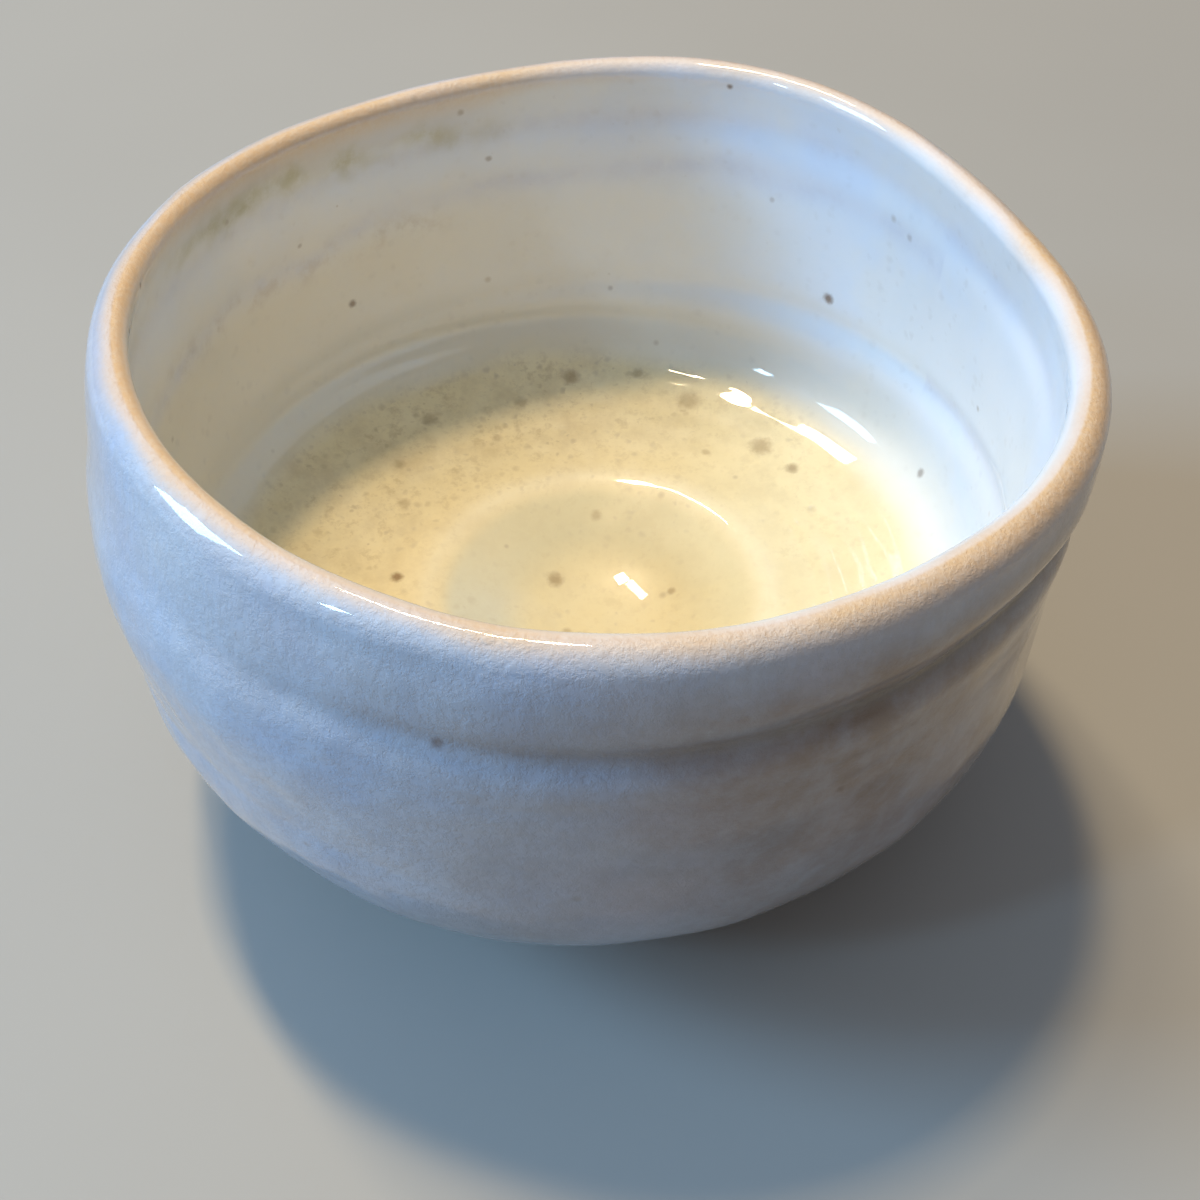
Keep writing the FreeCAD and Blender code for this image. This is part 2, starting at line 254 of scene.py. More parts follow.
def glazed_surface(along, angle):
    """Points of the glazed surface in mm for arrays of arc length and angle."""
    height = np.interp(along, ALONG, HEIGHT)
    radius = np.interp(along, ALONG, RADIUS)
    outside = along < CREST
    hold = np.minimum(1.0, (radius / FULL_WARP_RADIUS) ** 2)
    rise = (height - SEAT) / (RIM - SEAT)
    reach = radius + hold * rise ** 2 * waves(OUT_OF_ROUND, angle)
    reach = reach + hold * bell(height, 25.0, 20.0) * waves(HIP_SWELL, angle)
    reach = reach + hold * bell(height, 53.0, 14.0) * waves(BELLY_SWELL, angle)
    groove = facing(angle, GROOVE_SHARPEST, 2.0) * bell(height, GROOVE_HEIGHT, GROOVE_WIDTH)
    reach = reach - np.where(outside, GROOVE_DEPTH * groove, 0.0)
    lean = np.where(outside, hold, 1.0)
    lift = hold * rise ** 3 * waves(RIM_LIFT, angle)
    plain = np.stack([
        lean * BOWL_OFFSET[0] + reach * np.cos(angle),
        lean * BOWL_OFFSET[1] + reach * np.sin(angle),
        height + lift,
    ], axis=-1)
    outer, inner = outer_detail(plain, height, angle), inner_detail(plain, height, radius, angle)
    crest = 0.09 * lumps(plain, 15.0, 31) + 0.014 * lumps(plain, 2.6, 32)
    share = fade_at_crest(along)
    detail = np.where(outside, outer, inner) * share + crest * (1 - share)
    detail = detail * smooth(radius, 0.0, 3.0)
    return plain + detail[..., None] * grid_normals(plain)


def grid_normals(points):
    """Unit normals of a grid of rings (rings, around, xyz), out of the glaze."""
    down = np.gradient(points, axis=0)
    side = np.roll(points, -1, axis=1) - np.roll(points, 1, axis=1)
    normal = np.cross(side, down)
    return normal / np.maximum(np.linalg.norm(normal, axis=-1, keepdims=True), 1e-12)


def coat(along):
    """Thickness of the glaze in mm along the contour."""
    height = np.interp(along, ALONG, HEIGHT)
    radius = np.interp(along, ALONG, RADIUS)
    thin = WALL_COAT + bell(height, RIM, 3.5) * (LIP_COAT - WALL_COAT)
    settled = np.clip((8.0 - (height - FLOOR_EDGE)) / 10.0, 0.0, 1.0)
    floor = WALL_COAT + settled * (FLOOR_COAT - WALL_COAT)
    pooled = FLOOR_COAT + (1 - (radius / WELL_RADIUS) ** 2) * (POOL_COAT - FLOOR_COAT)
    inside_low = (along > CREST) & (height < 0.5 * RIM)
    return np.where(inside_low, np.where(radius > WELL_RADIUS, floor, pooled), thin)


def behind_groove(along, sink):
    """Extra depth in mm of a hidden surface behind the groove."""
    depth, spread = sink
    height = np.interp(along, ALONG, HEIGHT)
    return depth * bell(height, GROOVE_HEIGHT, spread) * (along < CREST)


# -------------------------------------------------------------- mesh building


def closed_grid_mesh(name, rings, normals, pole=False):
    """Closed mesh from a loop of rings: each ring joins the next, the last the first.
    With pole, the loop is open and both ends close on a point. Positions are in mm."""
    count, around = rings.shape[:2]
    vertices = rings.reshape(-1, 3) * MM
    index = np.arange(count * around).reshape(count, around)
    following = np.roll(index, -1, axis=0) if not pole else index[1:]
    current = index if not pole else index[:-1]
    quads = (current, np.roll(current, -1, axis=1), np.roll(following, -1, axis=1), following)
    faces = np.stack(quads, axis=-1).reshape(-1, 4).tolist()
    vertex_normals = normals.reshape(-1, 3)
    if pole:
        tips = np.array([rings[0].mean(axis=0), rings[-1].mean(axis=0)]) * MM
        tip_normals = np.array([normals[0].mean(axis=0), normals[-1].mean(axis=0)])
        tip_normals /= np.linalg.norm(tip_normals, axis=1, keepdims=True)
        first, last = len(vertices), len(vertices) + 1
        vertices = np.vstack([vertices, tips])
        vertex_normals = np.vstack([vertex_normals, tip_normals])
        for i in range(around):
            j = (i + 1) % around
            faces.append([first, int(index[0, j]), int(index[0, i])])
            faces.append([last, int(index[-1, i]), int(index[-1, j])])
    mesh = bpy.data.meshes.new(name)
    mesh.from_pydata(vertices.tolist(), [], faces)
    mesh.polygons.foreach_set("use_smooth", np.ones(len(mesh.polygons), bool))
    mesh.update()
    corners = np.zeros(len(mesh.loops), np.int32)
    mesh.loops.foreach_get("vertex_index", corners)
    mesh.normals_split_custom_set(vertex_normals[corners].tolist())
    piece = bpy.data.objects.new(name, mesh)
    bpy.context.scene.collection.objects.link(piece)
    return piece


def add_mask(piece, name, values):
    """A value for each vertex; the two tips of a pole mesh take the last one."""
    attribute = piece.data.attributes.new(name, "FLOAT", "POINT")
    padded = np.full(len(piece.data.vertices), values[-1], np.float32)
    padded[:len(values)] = values
    attribute.data.foreach_set("value", padded)


def ring_places(start, end, step):
    """Arc lengths of the rings from start to end for every angle, with one more
    ring beyond each end, used only for the slope of the surface there."""
    start = np.broadcast_to(start, ANGLES.shape)
    end = np.broadcast_to(end, ANGLES.shape)
    count = int(math.ceil(float(np.max(np.abs(end - start))) / step))
    share = np.arange(-1, count + 2) / count
    return start[None, :] + share[:, None] * (end - start)[None, :]


def ring_points(radius, height, angle):
    """Points at a radius and height round the middle of the wheel."""
    return np.stack([radius * np.cos(angle), radius * np.sin(angle), height], axis=-1)


def coat_piece(name, start, end, step, edge=None, pole=False):
    """One coat of glaze as a closed skin: clay surface behind, glazed surface in front."""
    along = ring_places(start, end, step)
    front = glazed_surface(along, np.broadcast_to(ANGLES, along.shape))
    normals = grid_normals(front)
    thickness = coat(along) + behind_groove(along, COAT_SINK)
    clay = front - normals * thickness[..., None]
    if edge:
        front = front + normals * edge(along)[..., None]
        normals = grid_normals(front)
    front, clay, normals, along = (part[1:-1] for part in (front, clay, normals, along))
    rows = np.r_[0:len(clay) - 1:BACK_STEP, len(clay) - 1][::-1]
    rings = np.concatenate([clay[rows], front])
    piece = closed_grid_mesh(name, rings, np.concatenate([-normals[rows], normals]), pole)
    mark_zones(piece, np.concatenate([along[rows], along]), rings)
    return piece


# ----------------------------------------------------------------- glaze zones

ZONES = (
    "lip", "tan", "floor", "well", "pour", "bare_band", "right_smear_and_shade", "groove", "combed", "outside",
    "specks_and_shade", "freckled", "painted_window_light", "left_wall_shade", "pale_slope_shade", "olive_slope_shade", "ridge", "foot", "streaks",
)


def lip_zones(along, angle, rings):
    """How far the thin coat of the lip reaches down each side, and how tan it is."""
    outside = along < CREST
    patchy = lumps(rings, 10.0, 41)
    left, front_right = facing(angle, 165.0, 2.5), facing(angle, -32.0, 7.0)
    inner = 1.6 + 4.0 * facing(angle, 140.0, 3.0) + 0.9 * facing(angle, 20.0, 4.0) + 0.4 * patchy
    outer = 1.5 + 3.6 * front_right + 0.5 * facing(angle, -95.0, 3.0) + 0.4 * patchy
    reach = np.maximum(np.where(outside, outer, inner), 0.8)
    rim_out = bell(along, CREST - 2.8, 3.0) * 2.2 * front_right
    tan = 0.24 + np.where(outside, rim_out, 1.05 * left) + 0.22 * patchy
    return {
        "lip": 1 - smooth(np.abs(along - CREST), 0.0, 1.25 * reach),
        "tan": np.clip(tan, 0.0, 1.0),
    }


def outside_zones(height, angle, rings):
    """The brown mottling at the right, which also paints the shade of that side; the dark pooled glaze in
    the groove, deepened into painted shade; and the combed upper wall.
    """
    right = facing(angle, -28.0, 3.0)
    patches = 1.25 + 0.3 * lumps(rings, 20.0, 44)
    line = groove_line(rings, angle)
    return {
        # Painted shade: the brown mottling is deepened over the whole right side, which lies in shade.
        "right_smear_and_shade": np.clip(patches * right * smooth(height, 73.0, 64.0), 0.0, 1.0),
        # Painted shade: a dark line along the groove at the right, partly pooled glaze.
        "groove": bell(height, line + 0.2, np.where(height > line, 1.7, 1.1)) * right,
        "combed": 0.2 + 0.8 * smooth(height, 52.0, 64.0),
        "outside": np.ones_like(height),
    }


def wall_zones(height, angle, rings):
    """The inner wall: a green-brown pour with a bare band above it, freckles,
    bluish painted window light at the right, brownish painted shade at the left and
    at the foot of the back wall, and the blue throwing rings."""
    degrees = np.degrees(angle)
    line = 67.2 - 0.045 * (158.0 - degrees)
    line = line + 0.7 * lumps(rings, 8.0, 43) + 0.5 * lumps(rings, 2.6, 47)
    span = smooth(degrees, 98.0, 118.0) * smooth(degrees, 172.0, 158.0)
    ragged = np.clip(0.72 + 0.45 * lumps(rings, 6.0, 46), 0.15, 1.0)
    freckle_span = smooth(degrees, 108.0, 122.0) * smooth(degrees, 182.0, 168.0)
    # Painted light: a bluish tint where the window lights the upper back and the right of the inner wall.
    painted_light_top = smooth(height, 46.0, 64.0) * facing(angle, 62.0, 1.5)
    painted_light_right = smooth(height, 26.0, 36.0) * facing(angle, 12.0, 4.0)
    spiral = bell(height, spiral_line(angle, 0) + 0.8 * lumps(rings, 14.0, 48), 1.8)
    upper = bell(height, UPPER_RING + upper_ring_wander(angle), 1.6)
    return {
        "pour": bell(height, line, 1.7) * span * ragged,
        "bare_band": smooth(height, line - 0.8, line + 1.6) * span,
        "freckled": bell(height, 52.0, 2.4) * freckle_span,
        "painted_window_light": np.maximum(painted_light_top, painted_light_right),
        # Painted shade: the left inner wall and the foot of the back-left wall, which lie in shade, tinted
        # darker and browner.
        "left_wall_shade": smooth(height, 62.0, 48.0) * facing(angle, 172.0, 3.0),
        "foot": smooth(height, 40.0, 27.0) * facing(angle, 120.0, 1.5),
        "streaks": np.maximum(spiral, 0.8 * upper),
    }


def floor_zones(height, radius, angle, rings):
    """The cream floor and its specks, thicker towards the back-left partly as painted shade, the tea well,
    its slopes in painted shade and its rim in painted light.
    """
    clear = facing(angle, 15.0, 3.0)
    wander = 0.4 * lumps(rings, 24.0, 42) + 0.2 * lumps(rings, 6.0, 45)
    near_edge, far_edge = 52.0 - 1.2 * clear, 47.6 - 3.5 * clear
    floor = smooth(near_edge - radius - wander, 0.0, near_edge - far_edge)
    # Specks and haze thicken towards the back-left, partly as painted shade where the rim's shadow lies on
    # the floor.
    specks_and_shade = 0.85 * facing(angle, 128.0, 1.6) * smooth(radius, 20.0, 36.0) + 0.45
    slope = smooth(radius, 23.0, 20.0) * smooth(radius, 9.0, 16.0)
    return {
        "floor": floor * smooth(height, 33.0, 28.0),
        "well": smooth(radius, WELL_RADIUS + 1.0, WELL_RADIUS - 2.5),
        "specks_and_shade": specks_and_shade * smooth(radius, 51.0, 49.5),
        # Painted shade: the well's slopes tinted by the side they face, greyer at the left with a painted
        # bluish reflection, olive at the back.
        "pale_slope_shade": slope * facing(angle, 200.0, 6.0),
        "olive_slope_shade": slope * facing(angle, 100.0, 2.0),
        # Painted light: a lighter ring where the rim of the well faces the lamp.
        "ridge": bell(radius, 24.0, 2.0),
    }


def mark_zones(piece, along, rings):
    """Masks that the glaze material reads, one value for each vertex."""
    angle = np.broadcast_to(ANGLES, along.shape)
    height = np.interp(along, ALONG, HEIGHT)
    radius = np.interp(along, ALONG, RADIUS)
    outside = along < CREST
    zones = lip_zones(along, angle, rings)
    for label, values in outside_zones(height, angle, rings).items():
        zones[label] = values * outside
    inner = wall_zones(height, angle, rings) | floor_zones(height, radius, angle, rings)
    for label, values in inner.items():
        zones[label] = values * ~outside
    for label in ZONES:
        add_mask(piece, label, zones[label].reshape(-1))


# --------------------------------------------------------------- glaze pieces

DIP_HEIGHT, DIP_TILT, DIP_RADIUS = 12.6, 2.2, 42.0
# Runs of glaze below the dip line: (direction and spread in degrees, drop in mm).
DIP_RUNS = [(-70.0, 5.0, 1.6), (35.0, 6.0, 2.2), (160.0, 4.0, 1.2), (250.0, 7.0, 1.0)]


def dip_line():
    """Arc length of the lower edge of the outside glaze, wavy with a few runs."""
    circle = ring_points(DIP_RADIUS, 0 * ANGLES, ANGLES)
    height = DIP_HEIGHT - DIP_RADIUS * math.tan(math.radians(DIP_TILT)) * np.cos(ANGLES)
    height += 0.7 * lumps(circle, 30.0, 51) + 0.25 * lumps(circle, 9.0, 52)
    for direction, spread, drop in DIP_RUNS:
        gap = np.degrees(np.angle(np.exp(1j * (ANGLES - math.radians(direction)))))
        height -= drop * bell(gap, 0.0, spread)
    return outside_at(np.maximum(height, SEAT + 1.6))


DIP = dip_line()


def glaze_roll(along):
    """Change of thickness by the lower edge: a rolled bead that rounds off to nothing."""
    past = along - DIP
    bead = 0.42 * bell(past, 1.5, 1.1)
    rounding = np.sqrt(np.clip(1 - (1 - np.clip(past / 0.9, 0.0, 1.0)) ** 2, 0.0, 1.0))
    return (WALL_COAT + bead) * rounding - WALL_COAT + 0.02 * (1 - rounding)


def build_glaze():
    """The five coats by CAD node, each one meeting the next at its edge."""
    lip_out, lip_in = outside_at(LIP_LINE), inside_at(LIP_LINE)
    floor_edge, well_edge = inside_at(FLOOR_EDGE), inside_at_radius(WELL_RADIUS)
    centre = inside_at_radius(0.35)
    return {
        "outer_glaze": coat_piece("glaze_outside", DIP, lip_out, 0.62, glaze_roll),
        "lip_glaze": coat_piece("glaze_lip", lip_out, lip_in, 0.32),
        "wall_glaze": coat_piece("glaze_inner_wall", lip_in, floor_edge, 0.55),
        "floor_glaze": coat_piece("glaze_floor", floor_edge, well_edge, 0.55),
        "well_glaze": coat_piece("glaze_tea_well", well_edge, centre, 0.5, pole=True),
    }


# ------------------------------------------------------------ clay and foot

FOOT_OUTER, FOOT_INNER, FOOT_TOP = 28.0, 20.5, SEAT - 0.05
TABLE_OUTER, TABLE_INNER = 25.6, 22.7

# (radius, height) of the clay inside and over the foot, from the boss outwards.
UNDERSIDE = [
    (0.5, 8.7), (1.5, 8.95), (3.0, 9.6), (4.6, 10.1), (6.5, 10.25), (12.0, 10.15), (15.5, 9.9),
    (17.6, 9.2), (18.9, 8.2), (19.8, 7.3), (20.6, SEAT - 0.02), (28.2, SEAT - 0.02),
]


def clay_body():
    """The clay bowl: hidden under the glaze, bare and trimmed round the foot."""
    visible = np.arange(0.4, float(np.max(DIP)) + 3.0, 0.5)
    hidden = np.arange(visible[-1] + CLAY_STEP, inside_at_radius(0.8), CLAY_STEP)
    along = np.r_[visible, hidden][:, None] + 0 * ANGLES
    angle = np.broadcast_to(ANGLES, along.shape)
    skin = glazed_surface(along, angle)
    normals = grid_normals(skin)
    buried = CLAY_BURIED + behind_groove(along, CLAY_SINK)
    buried = buried * smooth(along, visible[-1], visible[-1] + 6.0)
    clay = skin - normals * (coat(along) + CLAY_GAP + buried)[..., None]
    bare = smooth(along, 1.0, 3.0) * smooth(along, 26.0, 20.0)
    trimming = 0.07 * tool_spiral(along, 1.7, angle) * (0.6 + 0.4 * lumps(clay, 15.0, 61))
    cut = (trimming + 0.03 * lumps(clay, 2.5, 62) - 0.05) * bare
    clay = clay + normals * cut[..., None]
    rings = np.concatenate([underside_rings(), clay])
    return closed_grid_mesh("clay_body", rings, grid_normals(rings), pole=True)


def underside_rings():
    """Hollow inside the foot, from the tip of the boss out to the seat."""
    steps = np.r_[np.arange(0.5, 20.6, 0.45), 20.6, 22.0, 24.0, 26.0, 28.2]
    radius = steps[:, None] + 0 * ANGLES
    angle = np.broadcast_to(ANGLES, radius.shape)
    rings = ring_points(radius, np.interp(radius, *np.array(UNDERSIDE).T), angle)
    mark = 0.07 * tool_spiral(radius, 2.1, -angle) + 0.05 * lumps(rings, 5.0, 63)
    rings[..., 2] += mark * smooth(radius, 20.4, 17.0) * smooth(radius, 0.5, 3.0)
    return rings


def foot_section():
    """(radius, height) round the foot ring: outer wall, table edge, inner wall, top."""
    section = []
    for t in np.linspace(0, 1, 16):
        section.append((FOOT_OUTER + 0.9 * (1 - t) ** 3 - 1.2 * t, FOOT_TOP - 5.4 * t))
    for t in np.linspace(0, math.pi / 2, 9)[1:]:
        section.append((TABLE_OUTER + 1.2 * math.cos(t), 1.55 * (1 - math.sin(t))))
    for t in np.linspace(0, 1, 10)[1:-1]:
        section.append((TABLE_OUTER + (TABLE_INNER - TABLE_OUTER) * t, 0.0))
    for t in np.linspace(0, math.pi / 2, 9):
        section.append((TABLE_INNER - 1.1 * math.sin(t), 1.1 * (1 - math.cos(t))))
    for t in np.linspace(0, 1, 14)[1:]:
        section.append((FOOT_INNER + 1.1 * (1 - t), 1.1 + (FOOT_TOP - 1.1) * t))
    for t in np.linspace(0, 1, 8)[1:-1]:
        section.append((FOOT_INNER + 8.4 * t, FOOT_TOP))
    return np.array(section)


def foot_ring():
    """Luted foot ring: trimmed walls, a soft table edge and small tool nicks."""
    profile = foot_section()
    radius = profile[:, :1] + 0 * ANGLES
    height = profile[:, 1:] + 0 * ANGLES
    angle = np.broadcast_to(ANGLES, radius.shape)
    rings = ring_points(radius, height, angle)
    flank = smooth(height, 0.6, 2.0) * smooth(height, FOOT_TOP, SEAT - 0.8)
    uneven = 0.16 * lumps(rings, 16.0, 71) + 0.03 * lumps(rings, 2.2, 72)
    uneven = uneven + 0.05 * np.sin(2 * math.pi * height / 1.25)
    rings += ring_points(uneven * flank, 0 * height, angle)
    worn = np.clip(lumps(rings, 6.0, 73) - 0.9, 0.0, 1.0) * bell(height, 0.0, 0.8)
    rings[..., 2] += 0.35 * worn
    normals = -grid_normals(rings)
    return closed_grid_mesh("foot_ring_clay", rings[::-1], normals[::-1])


# ------------------------------------------------------------------ materials


class Nodes:
    """Small helper that adds and links shader nodes."""

    def __init__(self, name):
        self.material = bpy.data.materials.new(name)
        self.material.use_nodes = True
        self.tree = self.material.node_tree
        self.shader = self.tree.nodes["Principled BSDF"]
        self.place = self.add("ShaderNodeTexCoord").outputs["Object"]

    def add(self, kind, inputs=None, **settings):
        node = self.tree.nodes.new(kind)
        for key, value in settings.items():
            setattr(node, key, value)
        for key, value in (inputs or {}).items():
            if isinstance(value, bpy.types.NodeSocket):
                self.tree.links.new(value, node.inputs[key])
            else:
                node.inputs[key].default_value = value
        return node

    def math(self, operation, first, second=0.0, clamp=False):
        inputs = {0: first, 1: second}
        return self.add("ShaderNodeMath", inputs, operation=operation, use_clamp=clamp).outputs[0]

    def times(self, first, second):
        return self.math("MULTIPLY", first, second)

    def most(self, first, second):
        return self.math("MAXIMUM", first, second)

    def vector(self, operation, inputs):
        return self.add("ShaderNodeVectorMath", inputs, operation=operation).outputs

    def ramp(self, value, low, high, start=0.0, end=1.0):
        inputs = {0: value, 1: low, 2: high, 3: start, 4: end}
        return self.add("ShaderNodeMapRange", inputs, interpolation_type="SMOOTHSTEP").outputs[0]

    def mask(self, name):
        return self.add("ShaderNodeAttribute", attribute_name=name).outputs["Fac"]

    def noise(self, scale, detail=3.0, roughness=0.55, stretch=None, place=None):
        where = place or self.place
        if stretch:
            where = self.add("ShaderNodeMapping", {"Vector": where, "Scale": stretch}).outputs[0]
        inputs = {"Vector": where, "Scale": scale, "Detail": detail, "Roughness": roughness}
        return self.add("ShaderNodeTexNoise", inputs).outputs[0]

    def warped(self, scale, amount):
        """Object coordinates pushed about by up to half the amount, in metres."""
        inputs = {"Vector": self.place, "Scale": scale, "Detail": 2.0}
        colour = self.add("ShaderNodeTexNoise", inputs).outputs["Color"]
        push = self.vector("SUBTRACT", {0: colour, 1: (0.5, 0.5, 0.5)})[0]
        push = self.vector("SCALE", {0: push, "Scale": amount})[0]
        return self.vector("ADD", {0: self.place, 1: push})[0]

    def mix(self, share, first, second):
        node = self.add("ShaderNodeMix", data_type="RGBA")
        for socket, value in zip((node.inputs[0], node.inputs[6], node.inputs[7]), (share, first, second)):
            if isinstance(value, bpy.types.NodeSocket):
                self.tree.links.new(value, socket)
            else:
                socket.default_value = (*value, 1.0) if isinstance(value, tuple) else value
        return node.outputs[2]

    def tint(self, colour, share, strength, tone):
        """The colour moved towards a tone by share times strength."""
        return self.mix(self.times(share, strength), colour, tone)

    def bump(self, height, distance, strength=1.0, normal=None):
        inputs = {"Height": height, "Distance": distance, "Strength": strength}
        if normal is not None:
            inputs["Normal"] = normal
        return self.add("ShaderNodeBump", inputs).outputs[0]

    def finish(self, **sockets):
        for key, value in sockets.items():
            socket = self.shader.inputs[key.replace("_", " ")]
            if isinstance(value, bpy.types.NodeSocket):
                self.tree.links.new(value, socket)
            else:
                socket.default_value = value
        return self.material


# Iron specks on the inner wall and outside: (direction in degrees, height, radius
# of the speck in mm, strength).
WALL_SPECKS = [
    (49.0, 43.1, 0.80, 0.85), (133.0, 42.4, 0.60, 0.75), (19.0, 29.2, 0.60, 0.55), (70.0, 70.6, 0.40, 0.8),
    (108.0, 60.3, 0.45, 0.45), (141.0, 56.0, 0.35, 0.4), (88.0, 36.0, 0.40, 0.35), (62.0, 55.0, 0.40, 0.3),
    (10.0, 47.0, 0.40, 0.4), (112.0, 68.6, 0.5, 0.4), (178.0, 71.0, 0.35, 0.7), (35.0, 60.0, 0.5, 0.3),
]
OUTSIDE_SPECKS = [
    (-105.0, 61.0, 0.65, 0.6), (-66.0, 49.6, 0.5, 0.5), (-122.0, 36.0, 0.4, 0.3), (100.0, 45.0, 0.7, 0.8),
    (20.0, 38.0, 0.5, 0.7), (60.0, 56.0, 0.45, 0.6), (140.0, 30.0, 0.5, 0.7), (-20.0, 30.0, 0.5, 0.6),
]
# The same on the floor: (direction, distance from the middle, radius, strength).
FLOOR_SPECKS = [
    (176.0, 28.3, 0.85, 0.9), (133.0, 9.7, 1.1, 0.6), (49.0, 39.3, 1.6, 0.55), (39.0, 39.0, 0.9, 0.65),
    (229.0, 4.4, 0.9, 0.75), (96.0, 45.0, 1.3, 0.6), (82.0, 46.2, 0.9, 0.45), (70.0, 42.5, 1.8, 0.45),
    (117.0, 35.2, 0.7, 0.35), (22.0, 11.3, 0.6, 0.5), (205.0, 5.2, 0.7, 0.4), (92.0, 17.5, 0.8, 0.35),
    (150.0, 33.0, 0.9, 0.4), (128.0, 43.0, 1.2, 0.45), (108.0, 41.0, 1.0, 0.4), (141.0, 38.5, 0.8, 0.4),
    (60.0, 33.5, 0.6, 0.35), (26.0, 36.0, 0.7, 0.3), (330.0, 9.5, 0.5, 0.4), (240.0, 12.0, 0.6, 0.5),
    (300.0, 33.0, 0.8, 0.6), (270.0, 41.0, 0.6, 0.5), (330.0, 28.0, 0.5, 0.4), (205.0, 40.0, 0.7, 0.6),
]


def surface_point(along, direction):
    """One point of the glazed surface, for a direction in degrees."""
    near = np.array([along - 0.2, along, along + 0.2])[:, None] + np.zeros(AROUND)
    ring = glazed_surface(near, np.broadcast_to(ANGLES, near.shape))[1]
    return ring[int(round(direction / 360.0 * AROUND)) % AROUND] * MM


def iron_specks(nodes):
    """Soft iron specks at fixed places, with ragged rims."""
    places = []
    for at, specks in (
        (inside_at, WALL_SPECKS), (outside_at, OUTSIDE_SPECKS), (inside_at_radius, FLOOR_SPECKS),
    ):
        for direction, where, size, force in specks:
            places.append((surface_point(at(where), direction), size * MM, force))
    ragged = nodes.math("SUBTRACT", nodes.noise(1100.0, 3.0, 0.65), 0.5)
    total = 0.0
    for centre, size, force in places:
        gap = nodes.vector("DISTANCE", {0: nodes.place, 1: tuple(centre)})["Value"]
        reach = nodes.math("ADD", gap, nodes.times(ragged, size))
        total = nodes.most(total, nodes.ramp(reach, 1.6 * size, 0.3 * size, 0.0, force))
    return total


def fine_specks(nodes, scale, rarity, size, place=None):
    """Scattered small soft specks: cores of Voronoi cells picked at random."""
    cells = nodes.add("ShaderNodeTexVoronoi", {"Vector": place or nodes.place, "Scale": scale})
    picked = nodes.add("ShaderNodeSeparateColor", {0: cells.outputs["Color"]}).outputs[0]
    reach = nodes.ramp(picked, rarity, 1.0, 0.0, size)
    inward = nodes.math("SUBTRACT", reach, cells.outputs["Distance"])
    share = nodes.math("DIVIDE", inward, nodes.most(nodes.times(reach, 0.7), 0.02))
    return nodes.math("MULTIPLY", share, 1.0, clamp=True)


def milk_colour(nodes, zone, cloud, veil):
    """The pale glaze of the inner wall, with bluish painted window light at the right and brownish painted
    shade at the left and at the foot of the back wall.
    """
    milk = nodes.mix(cloud, (0.86, 0.84, 0.80), (0.82, 0.83, 0.845))
    milk = nodes.tint(milk, veil, 0.30, (0.75, 0.71, 0.63))
    # Painted light: bluish window light tinted onto the right and upper back of the inner wall, blotchy
    # with the clouds.
    milk = nodes.tint(milk, zone["painted_window_light"], nodes.ramp(cloud, 0.0, 1.0, 0.6, 1.0), (0.72, 0.80, 0.97))
    # Painted shade: a darker, browner tint on the shaded left wall and on the foot of the back-left wall.
    milk = nodes.tint(milk, zone["left_wall_shade"], 0.8, (0.75, 0.69, 0.555))
    milk = nodes.tint(milk, zone["foot"], 0.75, (0.72, 0.665, 0.53))
    return nodes.tint(milk, zone["streaks"], nodes.ramp(veil, 0.0, 1.0, 0.25, 0.6), (0.62, 0.65, 0.79))


def outer_colour(nodes, zone, cloud, veil, crackle, streak):
    """The bluish glaze of the outside, with rosy clouds, crackle and combing."""
    rosy = nodes.ramp(nodes.noise(20.0, 3.0, 0.6), 0.42, 0.66, 0.0, 0.7)
    outer = nodes.mix(cloud, (0.52, 0.595, 0.735), (0.44, 0.555, 0.775))
    outer = nodes.mix(rosy, outer, (0.57, 0.55, 0.64))
    outer = nodes.tint(outer, veil, 0.40, (0.61, 0.66, 0.75))
    outer = nodes.tint(outer, crackle, 0.22, (0.38, 0.39, 0.44))
    return nodes.tint(outer, streak, nodes.times(zone["combed"], 0.20), (0.46, 0.47, 0.50))


def cream_colour(nodes, zone, veil, warped, middle):
    """The cream floor and tea well under a dust of fine brown specks, thicker towards the back-left partly
    as painted shade, with painted shade on the well's slopes and painted light on its rim.
    """
    cream = nodes.mix(veil, (0.81, 0.69, 0.415), (0.84, 0.73, 0.465))
    cream = nodes.tint(cream, zone["well"], 0.35, (0.78, 0.71, 0.46))
    # Painted shade: the back slope of the well, facing away from the lamp, olive; the left slope greyer,
    # painted shade with a painted bluish reflection.
    cream = nodes.tint(cream, zone["olive_slope_shade"], 0.75, (0.66, 0.61, 0.41))
    cream = nodes.tint(cream, zone["pale_slope_shade"], 0.85, (0.66, 0.67, 0.57))
    # Painted light: lighter, paler cream on the rim round the tea well.
    cream = nodes.tint(cream, zone["ridge"], 0.45, (0.90, 0.83, 0.62))
    fine = fine_specks(nodes, 1000.0, -0.2, 0.50, warped)
    coarse = fine_specks(nodes, 260.0, 0.60, 0.36, warped)
    haze = nodes.ramp(nodes.noise(130.0, 5.0, 0.7), 0.42, 0.72)
    mottling = nodes.ramp(nodes.noise(430.0, 4.0, 0.7, place=warped), 0.46, 0.72)
    dust = nodes.most(nodes.times(fine, 0.40), nodes.times(middle, 0.7))
    dust = nodes.most(dust, nodes.times(coarse, 0.5))
    dust = nodes.most(dust, nodes.times(mottling, 0.75))
    dust = nodes.times(dust, nodes.ramp(nodes.noise(60.0, 3.0, 0.6), 0.25, 0.60, 0.4, 1.0))
    dust = nodes.most(dust, nodes.times(haze, 0.55))
    # The brown dust is strongest towards the back-left, partly painted shade of the rim's shadow.
    return nodes.tint(cream, dust, nodes.times(zone["specks_and_shade"], 0.50), (0.42, 0.30, 0.145))


